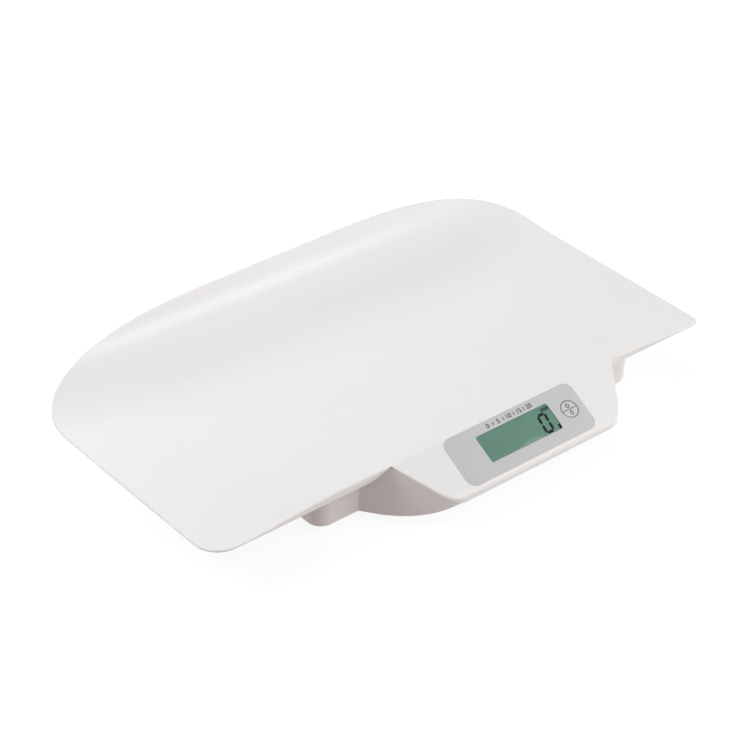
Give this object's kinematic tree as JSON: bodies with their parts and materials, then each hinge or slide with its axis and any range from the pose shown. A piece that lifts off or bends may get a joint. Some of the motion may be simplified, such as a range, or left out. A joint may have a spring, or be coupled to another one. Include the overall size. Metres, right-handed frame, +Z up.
{
  "type": "digital baby weighing scale",
  "caption": "Low digital baby scale: moulded tray with a raised concave back, sloping display panel with a round key, shallow base on four load-cell feet.",
  "frame": {"origin": "on the floor under the middle of the whole scale's box", "axes": "+X along the tray to the right as seen by the reader of the display, +Y from the display to the raised back, +Z up"},
  "size_m": [0.5532, 0.3308, 0.0966],
  "materials": {
    "shell_white": "warm white ABS, satin moulding",
    "overlay_film": "light grey printed film",
    "key_grey": "light grey ABS, satin",
    "clear_window": "clear acrylic, polished",
    "display_green": "green reflective liquid crystal glass",
    "grey_rubber": "dark grey rubber, matt",
    "board_green": "green solder resist on glass fibre board",
    "black_resin": "black epoxy and black plastic",
    "steel": "bright zinc-plated steel",
    "nickel": "nickel-plated spring steel",
    "battery_skin": "plain printed sleeve over a steel can",
    "lead_red": "red PVC insulation",
    "lead_black": "black PVC insulation",
    "lead_grey": "grey PVC insulation"
  },
  "bodies": {
    "root": {"tray": "shell_white", "bottom_cover": "shell_white", "panel_overlay": "overlay_film", "lcd_window": "clear_window", "lcd_glass": "display_green", "lcd_holder": "shell_white", "zebra_connector": "grey_rubber", "main_board": "board_green", "controller_chip": "black_resin", "crystal": "nickel", "capacitor_1": "black_resin", "capacitor_2": "black_resin", "zero_switch_body": "black_resin", "battery_plus_contact": "nickel", "battery_minus_contact": "nickel", "battery_bridge_1": "nickel", "battery_bridge_2": "nickel", "unit_switch_body": "black_resin", "unit_board": "board_green", "battery_lead_plus": "lead_red", "battery_lead_minus": "lead_black", "unit_lead": "lead_grey", "board_screw_1": "steel", "board_screw_2": "steel", "board_screw_3": "steel", "board_screw_4": "steel", "cover_screw_1": "steel", "cover_screw_2": "steel", "cover_screw_3": "steel", "cover_screw_4": "steel", "cover_screw_5": "steel", "cover_screw_6": "steel", "cover_screw_7": "steel", "cover_screw_8": "steel", "battery_1": "battery_skin", "battery_2": "battery_skin", "battery_3": "battery_skin", "foot_pad_front_left": "grey_rubber", "foot_cup_front_left": "shell_white", "load_cell_front_left": "steel", "cell_lead_front_left": "lead_grey", "foot_pad_front_right": "grey_rubber", "foot_cup_front_right": "shell_white", "load_cell_front_right": "steel", "cell_lead_front_right": "lead_grey", "foot_pad_rear_left": "grey_rubber", "foot_cup_rear_left": "shell_white", "load_cell_rear_left": "steel", "cell_lead_rear_left": "lead_grey", "foot_pad_rear_right": "grey_rubber", "foot_cup_rear_right": "shell_white", "load_cell_rear_right": "steel", "cell_lead_rear_right": "lead_grey"},
    "zero_key": {"zero_key": "key_grey", "zero_switch_stem": "key_grey"},
    "unit_key": {"unit_button": "grey_rubber", "unit_switch_stem": "key_grey"},
    "door": {"battery_door": "shell_white"}
  },
  "joints": [
    {"name": "zero_key_press", "type": "slide", "parent": "root", "child": "zero_key", "axis": [0, 0.5, -0.866], "range_m": [0, 0.0004], "stiffness_N_per_m": 1500, "springref_m": -0.0006},
    {"name": "unit_key_press", "type": "slide", "parent": "root", "child": "unit_key", "axis": [0, 0, 1], "range_m": [0, 0.0004], "stiffness_N_per_m": 1500, "springref_m": -0.0006},
    {"name": "battery_door_slide", "type": "slide", "parent": "root", "child": "door", "axis": [0, 1, 0], "range_m": [0, 0.04]}
  ]
}
